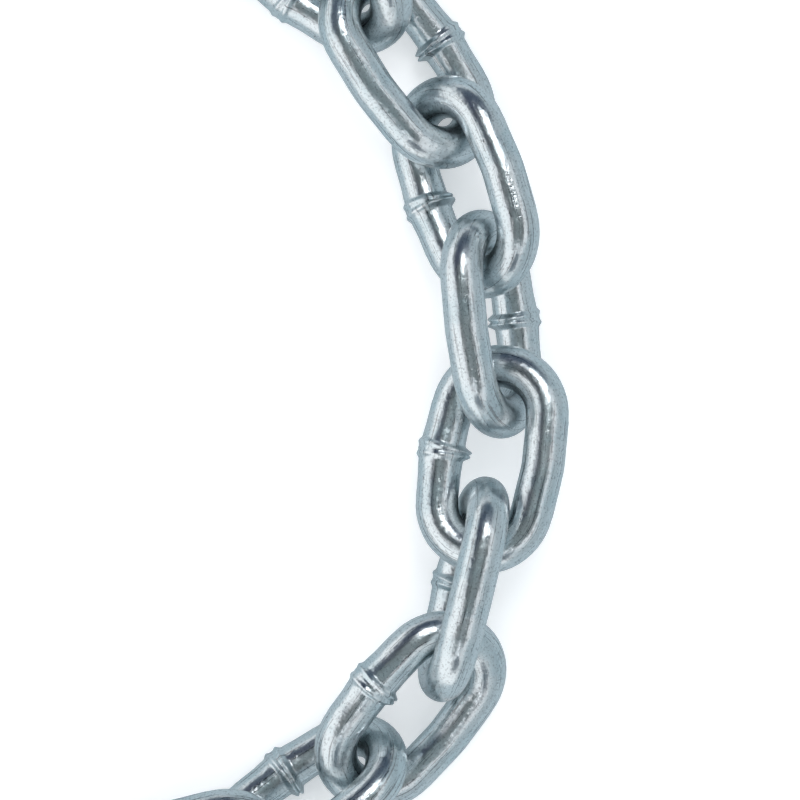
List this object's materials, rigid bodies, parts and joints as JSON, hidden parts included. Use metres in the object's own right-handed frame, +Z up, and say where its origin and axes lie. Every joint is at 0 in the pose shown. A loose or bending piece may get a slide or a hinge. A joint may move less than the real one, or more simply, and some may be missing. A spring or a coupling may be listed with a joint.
{
  "type": "load binder chain",
  "caption": "Zinc-plated welded steel chain of round-wire links laid in a U, with a clevis grab hook pinned to each end.",
  "frame": {"origin": "on the floor under the middle of the laid-out chain", "axes": "+Z up from the floor; +X from the two hooks towards the bend of the U; +Y across, towards hook a"},
  "size_m": [0.4192, 0.285, 0.0364],
  "materials": {
    "link_zinc": "bright zinc plate over drawn wire, with dark drawing streaks and pits",
    "hook_zinc": "zinc plate over a forged surface",
    "pin_zinc": "zinc plate over a turned surface"
  },
  "bodies": {
    "chain_link_01": {"chain_link_01": "link_zinc"},
    "chain_link_02": {"chain_link_02": "link_zinc"},
    "chain_link_03": {"chain_link_03": "link_zinc"},
    "chain_link_04": {"chain_link_04": "link_zinc"},
    "chain_link_05": {"chain_link_05": "link_zinc"},
    "chain_link_06": {"chain_link_06": "link_zinc"},
    "chain_link_07": {"chain_link_07": "link_zinc"},
    "chain_link_08": {"chain_link_08": "link_zinc"},
    "chain_link_09": {"chain_link_09": "link_zinc"},
    "chain_link_10": {"chain_link_10": "link_zinc"},
    "chain_link_11": {"chain_link_11": "link_zinc"},
    "chain_link_12": {"chain_link_12": "link_zinc"},
    "chain_link_13": {"chain_link_13": "link_zinc"},
    "chain_link_14": {"chain_link_14": "link_zinc"},
    "chain_link_15": {"chain_link_15": "link_zinc"},
    "chain_link_16": {"chain_link_16": "link_zinc"},
    "chain_link_17": {"chain_link_17": "link_zinc"},
    "chain_link_18": {"chain_link_18": "link_zinc"},
    "chain_link_19": {"chain_link_19": "link_zinc"},
    "chain_link_20": {"chain_link_20": "link_zinc"},
    "chain_link_21": {"chain_link_21": "link_zinc"},
    "chain_link_22": {"chain_link_22": "link_zinc"},
    "chain_link_23": {"chain_link_23": "link_zinc"},
    "chain_link_24": {"chain_link_24": "link_zinc"},
    "grab_hook_a": {"grab_hook_a": "hook_zinc"},
    "clevis_pin_a": {"clevis_pin_a": "pin_zinc", "split_pin_a": "pin_zinc"},
    "grab_hook_b": {"grab_hook_b": "hook_zinc"},
    "clevis_pin_b": {"clevis_pin_b": "pin_zinc", "split_pin_b": "pin_zinc"}
  },
  "joints": [
    {"name": "chain_link_01_swing", "type": "hinge", "parent": "chain_link_02", "child": "chain_link_01", "pos_m": [-0.09573, 0.1207, 0.01836], "axis": [0, -1, 0], "range_deg": [-90, 90]},
    {"name": "chain_link_02_swing", "type": "hinge", "parent": "chain_link_03", "child": "chain_link_02", "pos_m": [-0.063, 0.12352, 0.0178], "axis": [0.0031, 0.1749, 0.9846], "range_deg": [-90, 90]},
    {"name": "chain_link_03_swing", "type": "hinge", "parent": "chain_link_04", "child": "chain_link_03", "pos_m": [-0.03008, 0.12017, 0.01843], "axis": [0.0656, 0.9374, -0.342], "range_deg": [-90, 90]},
    {"name": "chain_link_04_swing", "type": "hinge", "parent": "chain_link_05", "child": "chain_link_04", "pos_m": [0.00233, 0.12359, 0.01655], "axis": [0.0006, -0.474, -0.8805], "range_deg": [-90, 90]},
    {"name": "chain_link_05_swing", "type": "hinge", "parent": "chain_link_06", "child": "chain_link_05", "pos_m": [0.0356, 0.12576, 0.01561], "axis": [0.0519, -0.7644, 0.6427], "range_deg": [-90, 90]},
    {"name": "chain_link_06_swing", "type": "hinge", "parent": "chain_link_07", "child": "chain_link_06", "pos_m": [0.06858, 0.12273, 0.0138], "axis": [0.1041, 0.6619, 0.7424], "range_deg": [-90, 90]},
    {"name": "chain_link_07_swing", "type": "hinge", "parent": "chain_link_08", "child": "chain_link_07", "pos_m": [0.10098, 0.11628, 0.01439], "axis": [0.1582, 0.6505, -0.7429], "range_deg": [-90, 90]},
    {"name": "chain_link_08_swing", "type": "hinge", "parent": "chain_link_09", "child": "chain_link_08", "pos_m": [0.13203, 0.10467, 0.01427], "axis": [-0.2468, -0.5936, -0.766], "range_deg": [-90, 90]},
    {"name": "chain_link_09_swing", "type": "hinge", "parent": "chain_link_10", "child": "chain_link_09", "pos_m": [0.15923, 0.08639, 0.01514], "axis": [-0.4254, -0.5496, 0.719], "range_deg": [-90, 90]},
    {"name": "chain_link_10_swing", "type": "hinge", "parent": "chain_link_11", "child": "chain_link_10", "pos_m": [0.17842, 0.06078, 0.01235], "axis": [0.5109, 0.2951, 0.8074], "range_deg": [-90, 65]},
    {"name": "chain_link_11_swing", "type": "hinge", "parent": "chain_link_12", "child": "chain_link_11", "pos_m": [0.18931, 0.03016, 0.0173], "axis": [0.6307, 0.1014, -0.7694], "range_deg": [-25, 90]},
    {"name": "chain_link_12_swing", "type": "hinge", "parent": "chain_link_13", "child": "chain_link_12", "pos_m": [0.19412, -0.0014, 0.01679], "axis": [-0.8621, -0.085, -0.4996], "range_deg": [-90, 90]},
    {"name": "chain_link_14_swing", "type": "hinge", "parent": "chain_link_13", "child": "chain_link_14", "pos_m": [0.18749, -0.04448, 0.01991], "axis": [-0.96, 0.2323, 0.1563], "range_deg": [-90, 90]},
    {"name": "chain_link_15_swing", "type": "hinge", "parent": "chain_link_14", "child": "chain_link_15", "pos_m": [0.17955, -0.07444, 0.01777], "axis": [-0.3033, 0.3689, -0.8786], "range_deg": [-90, 70]},
    {"name": "chain_link_16_swing", "type": "hinge", "parent": "chain_link_15", "child": "chain_link_16", "pos_m": [0.15734, -0.09745, 0.0141], "axis": [0.4077, -0.6358, -0.6553], "range_deg": [-90, 90]},
    {"name": "chain_link_17_swing", "type": "hinge", "parent": "chain_link_16", "child": "chain_link_17", "pos_m": [0.12938, -0.11428, 0.01553], "axis": [0.1323, -0.5593, 0.8183], "range_deg": [-90, 90]},
    {"name": "chain_link_18_swing", "type": "hinge", "parent": "chain_link_17", "child": "chain_link_18", "pos_m": [0.09726, -0.12245, 0.01348], "axis": [-0.0627, 0.7176, 0.6936], "range_deg": [-90, 90]},
    {"name": "chain_link_19_swing", "type": "hinge", "parent": "chain_link_18", "child": "chain_link_19", "pos_m": [0.06449, -0.12572, 0.01533], "axis": [0.0217, 0.6425, -0.766], "range_deg": [-90, 90]},
    {"name": "chain_link_20_swing", "type": "hinge", "parent": "chain_link_19", "child": "chain_link_20", "pos_m": [0.03123, -0.12412, 0.01467], "axis": [-0.1217, -0.7333, -0.6689], "range_deg": [-90, 90]},
    {"name": "chain_link_21_swing", "type": "hinge", "parent": "chain_link_20", "child": "chain_link_21", "pos_m": [-0.00172, -0.11928, 0.01628], "axis": [0.0058, -0.5016, 0.8651], "range_deg": [-90, 90]},
    {"name": "chain_link_22_swing", "type": "hinge", "parent": "chain_link_21", "child": "chain_link_22", "pos_m": [-0.03428, -0.11787, 0.01764], "axis": [-0.0686, 0.9246, 0.3746], "range_deg": [-90, 90]},
    {"name": "chain_link_23_swing", "type": "hinge", "parent": "chain_link_22", "child": "chain_link_23", "pos_m": [-0.06721, -0.12095, 0.01703], "axis": [-0.0309, 0.2091, -0.9774], "range_deg": [-90, 90]},
    {"name": "chain_link_24_swing", "type": "hinge", "parent": "chain_link_23", "child": "chain_link_24", "pos_m": [-0.10004, -0.12008, 0.0184], "axis": [0, -1, 0], "range_deg": [-90, 90]},
    {"name": "grab_hook_a_swing", "type": "hinge", "parent": "chain_link_01", "child": "grab_hook_a", "pos_m": [-0.11766, 0.12127, 0.01836], "axis": [0, 1, 0], "range_deg": [-80, 90]},
    {"name": "clevis_pin_a_turn", "type": "hinge", "parent": "grab_hook_a", "child": "clevis_pin_a", "pos_m": [-0.11766, 0.12127, 0.01836], "axis": [0, -1, 0], "continuous": true},
    {"name": "grab_hook_b_swing", "type": "hinge", "parent": "chain_link_24", "child": "grab_hook_b", "pos_m": [-0.12175, -0.12028, 0.01847], "axis": [0, 1, 0], "range_deg": [-80, 90]},
    {"name": "clevis_pin_b_turn", "type": "hinge", "parent": "grab_hook_b", "child": "clevis_pin_b", "pos_m": [-0.12175, -0.12028, 0.01847], "axis": [0, -1, 0], "continuous": true}
  ]
}
